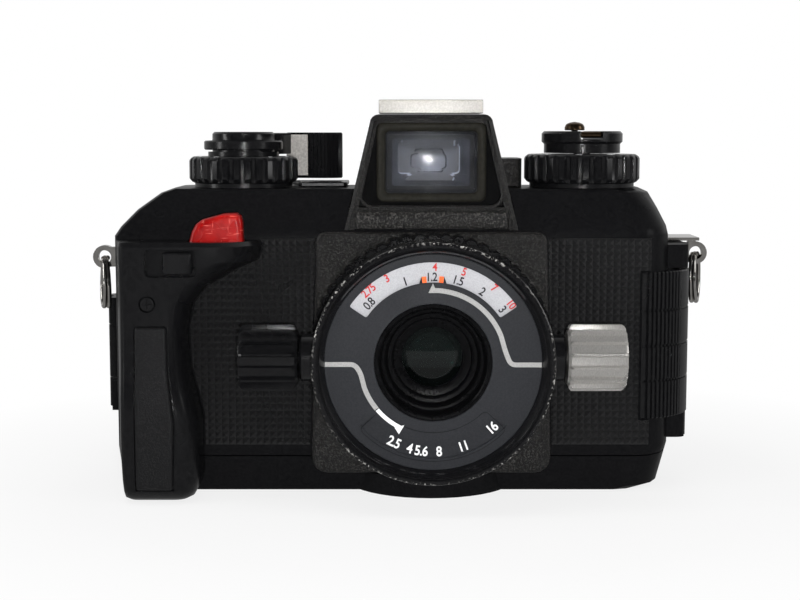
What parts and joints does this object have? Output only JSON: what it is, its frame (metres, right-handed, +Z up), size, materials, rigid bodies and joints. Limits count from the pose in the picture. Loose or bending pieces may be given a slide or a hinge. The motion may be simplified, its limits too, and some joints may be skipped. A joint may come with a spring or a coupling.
{
  "type": "underwater film camera",
  "caption": "Amphibious viewfinder film camera with a front hand grip, red release, lens with two side knobs, hinged back door and fold-out rewind crank.",
  "frame": {"origin": "on the base plane, under the lens axis and in the middle of the body's depth", "axes": "+X along the body to the viewer's right when the lens faces the viewer, +Y from the lens to the back door, +Z up"},
  "size_m": [0.1585, 0.068, 0.0974],
  "materials": {
    "gloss_black": "satin black enamel",
    "cast_black": "die-cast aluminium with satin black enamel",
    "wrinkle_black": "black wrinkle paint",
    "rubber_black": "moulded rubber with small pyramids",
    "slate_paint": "slate grey paint",
    "scale_white": "silver white paint",
    "pointer_orange": "orange paint",
    "release_red": "red moulded plastic",
    "bright_aluminium": "satin aluminium",
    "chrome": "polished chrome",
    "plain_steel": "plain",
    "bronze": "dark bronze",
    "clear_glass": "coated",
    "board_green": "lacquered"
  },
  "bodies": {
    "camera_body": {"body_casting": "cast_black", "base_cover": "cast_black", "front_plate": "wrinkle_black", "mount_ring": "plain_steel", "panel_left": "rubber_black", "panel_right": "rubber_black", "finder_housing": "wrinkle_black", "finder_bezel": "gloss_black", "finder_window": "clear_glass", "eyepiece_lens": "clear_glass", "name_plate": "wrinkle_black", "accessory_shoe": "bright_aluminium", "hand_grip": "gloss_black", "grip_insert": "rubber_black", "grip_screw": "plain_steel", "strap_lug_left": "chrome", "strap_lug_right": "chrome", "counter_bezel": "gloss_black", "hinge_pin": "plain_steel", "latch_pin": "plain_steel", "tripod_bushing": "plain_steel", "sync_socket": "plain_steel", "battery": "plain_steel", "film_gate": "plain_steel", "shutter_block": "gloss_black", "circuit_board": "board_green"},
    "back_door": {"back_door": "cast_black", "door_seal": "rubber_black"},
    "lens": {"lens_barrel": "cast_black", "flange_ring": "cast_black", "lens_face": "slate_paint", "lens_core": "cast_black", "front_glass": "clear_glass", "rear_glass": "clear_glass"},
    "pressure_plate": {"pressure_plate": "cast_black"},
    "latch_lever": {"latch_lever": "cast_black"},
    "speed_dial": {"speed_dial": "cast_black"},
    "advance_lever": {"advance_lever": "cast_black"},
    "counter_dial": {"counter_dial": "scale_white"},
    "take_up_spool": {"take_up_spool": "cast_black"},
    "sprocket": {"sprocket": "plain_steel"},
    "iso_dial": {"iso_dial": "cast_black"},
    "rewind_sleeve": {"rewind_sleeve": "plain_steel"},
    "rewind_knob": {"rewind_knob": "cast_black"},
    "rewind_crank": {"rewind_crank": "bronze"},
    "crank_handle": {"crank_handle": "bronze"},
    "shutter_release": {"shutter_release": "release_red"},
    "release_lock": {"release_lock": "gloss_black"},
    "strap_ring_left": {"strap_ring_left": "chrome"},
    "strap_ring_right": {"strap_ring_right": "chrome"},
    "battery_cap": {"battery_cap": "cast_black"},
    "sync_cap": {"sync_cap": "cast_black"},
    "shutter_blade_upper": {"shutter_blade_upper": "plain_steel"},
    "shutter_blade_lower": {"shutter_blade_lower": "plain_steel"},
    "focus_knob": {"focus_knob": "bright_aluminium"},
    "distance_scale": {"distance_scale": "scale_white"},
    "aperture_knob": {"aperture_knob": "gloss_black"},
    "aperture_scale": {"aperture_scale": "slate_paint"},
    "dof_pointer_left": {"dof_pointer_left": "pointer_orange"},
    "dof_pointer_right": {"dof_pointer_right": "pointer_orange"}
  },
  "joints": [
    {"name": "door_swing", "type": "hinge", "parent": "camera_body", "child": "back_door", "pos_m": [-0.0828, 0.017, 0.0362], "axis": [0, 0, 1], "range_deg": [0, 110]},
    {"name": "plate_spring", "type": "slide", "parent": "back_door", "child": "pressure_plate", "axis": [0, 1, 0], "range_m": [0, 0.0008], "stiffness_N_per_m": 500},
    {"name": "latch_swing", "type": "hinge", "parent": "camera_body", "child": "latch_lever", "pos_m": [0.06315, -0.003, 0.037], "axis": [0, 0, 1], "range_deg": [0, 65]},
    {"name": "speed_turn", "type": "hinge", "parent": "camera_body", "child": "speed_dial", "pos_m": [-0.0476, 0, 0.0757], "axis": [0, 0, 1], "range_deg": [0, 135]},
    {"name": "advance_swing", "type": "hinge", "parent": "camera_body", "child": "advance_lever", "pos_m": [-0.0476, 0, 0.0835], "axis": [0, 0, 1], "range_deg": [0, 144], "stiffness_Nm_per_rad": 0.02},
    {"name": "counter_turn", "type": "hinge", "parent": "camera_body", "child": "counter_dial", "pos_m": [-0.0263, 0.0015, 0.0735], "axis": [0, 0, 1], "range_deg": [0, 10]},
    {"name": "spool_turn", "type": "hinge", "parent": "camera_body", "child": "take_up_spool", "pos_m": [-0.0476, 0, 0.0155], "axis": [0, 0, 1], "range_deg": [0, 288]},
    {"name": "sprocket_turn", "type": "hinge", "parent": "camera_body", "child": "sprocket", "pos_m": [-0.028, 0.0034, 0.0155], "axis": [0, 0, 1], "range_deg": [0, 360]},
    {"name": "film_speed_turn", "type": "hinge", "parent": "camera_body", "child": "iso_dial", "pos_m": [0.0387, 0, 0.0757], "axis": [0, 0, 1], "range_deg": [-150, 150]},
    {"name": "rewind_turn", "type": "hinge", "parent": "camera_body", "child": "rewind_sleeve", "pos_m": [0.0387, 0, 0.0618], "axis": [0, 0, 1], "continuous": true},
    {"name": "rewind_lift", "type": "slide", "parent": "rewind_sleeve", "child": "rewind_knob", "axis": [0, 0, 1], "range_m": [0, 0.008]},
    {"name": "crank_fold", "type": "hinge", "parent": "rewind_knob", "child": "rewind_crank", "pos_m": [0.0399, -0.00852, 0.0887], "axis": [0.9903, 0.1392, 0], "range_deg": [0, 170]},
    {"name": "handle_turn", "type": "hinge", "parent": "rewind_crank", "child": "crank_handle", "pos_m": [0.03764, 0.00753, 0.0898], "axis": [0, 0, 1], "continuous": true},
    {"name": "release_press", "type": "slide", "parent": "camera_body", "child": "shutter_release", "axis": [0, 0, -1], "range_m": [0, 0.0025], "stiffness_N_per_m": 800},
    {"name": "lock_slide", "type": "slide", "parent": "camera_body", "child": "release_lock", "axis": [-1, 0, 0], "range_m": [0, 0.0036]},
    {"name": "ring_left_swing", "type": "hinge", "parent": "camera_body", "child": "strap_ring_left", "pos_m": [-0.0831, -0.002, 0.05746], "axis": [0, 1, 0], "range_deg": [-10, 75]},
    {"name": "ring_right_swing", "type": "hinge", "parent": "camera_body", "child": "strap_ring_right", "pos_m": [0.0696, 0.008, 0.05776], "axis": [0, -1, 0], "range_deg": [0, 100]},
    {"name": "battery_cap_turn", "type": "hinge", "parent": "camera_body", "child": "battery_cap", "pos_m": [-0.029, 0, 0.0002], "axis": [0, 0, 1], "continuous": true},
    {"name": "sync_cap_turn", "type": "hinge", "parent": "camera_body", "child": "sync_cap", "pos_m": [0.03, 0, 0.0002], "axis": [0, 0, 1], "continuous": true},
    {"name": "blade_upper_drop", "type": "slide", "parent": "camera_body", "child": "shutter_blade_upper", "axis": [0, 0, -1], "range_m": [0, 0.0252]},
    {"name": "blade_lower_drop", "type": "slide", "parent": "camera_body", "child": "shutter_blade_lower", "axis": [0, 0, -1], "range_m": [0, 0.0128]},
    {"name": "lens_turn", "type": "hinge", "parent": "camera_body", "child": "lens", "pos_m": [0, -0.0224, 0.0362], "axis": [0, 1, 0], "range_deg": [0, 90]},
    {"name": "focus_turn", "type": "hinge", "parent": "lens", "child": "focus_knob", "pos_m": [0.0318, -0.033, 0.0362], "axis": [1, 0, 0], "range_deg": [-188, 94]},
    {"name": "distance_turn", "type": "hinge", "parent": "lens", "child": "distance_scale", "pos_m": [0, -0.0407, 0.0362], "axis": [0, 1, 0], "range_deg": [-94, 47]},
    {"name": "aperture_turn", "type": "hinge", "parent": "lens", "child": "aperture_knob", "pos_m": [-0.0318, -0.033, 0.0362], "axis": [1, 0, 0], "range_deg": [0, 214.5]},
    {"name": "aperture_scale_turn", "type": "hinge", "parent": "lens", "child": "aperture_scale", "pos_m": [0, -0.041, 0.0362], "axis": [0, 1, 0], "range_deg": [0, 71.5]},
    {"name": "pointer_left_turn", "type": "hinge", "parent": "lens", "child": "dof_pointer_left", "pos_m": [0, -0.0407, 0.0362], "axis": [0, 1, 0], "range_deg": [-30.5, 0]},
    {"name": "pointer_right_turn", "type": "hinge", "parent": "lens", "child": "dof_pointer_right", "pos_m": [0, -0.04, 0.0362], "axis": [0, 1, 0], "range_deg": [0, 30.5]}
  ],
  "couplings": [
    {"joint": "counter_turn", "follows": "advance_swing", "ratio": 0.069444},
    {"joint": "spool_turn", "follows": "advance_swing", "ratio": 2},
    {"joint": "sprocket_turn", "follows": "advance_swing", "ratio": 2.5},
    {"joint": "blade_lower_drop", "follows": "blade_upper_drop", "ratio": 0.50794},
    {"joint": "distance_turn", "follows": "focus_turn", "ratio": 0.5},
    {"joint": "aperture_scale_turn", "follows": "aperture_turn", "ratio": 0.33333},
    {"joint": "pointer_left_turn", "follows": "aperture_turn", "ratio": -0.14219},
    {"joint": "pointer_right_turn", "follows": "aperture_turn", "ratio": 0.14219}
  ]
}
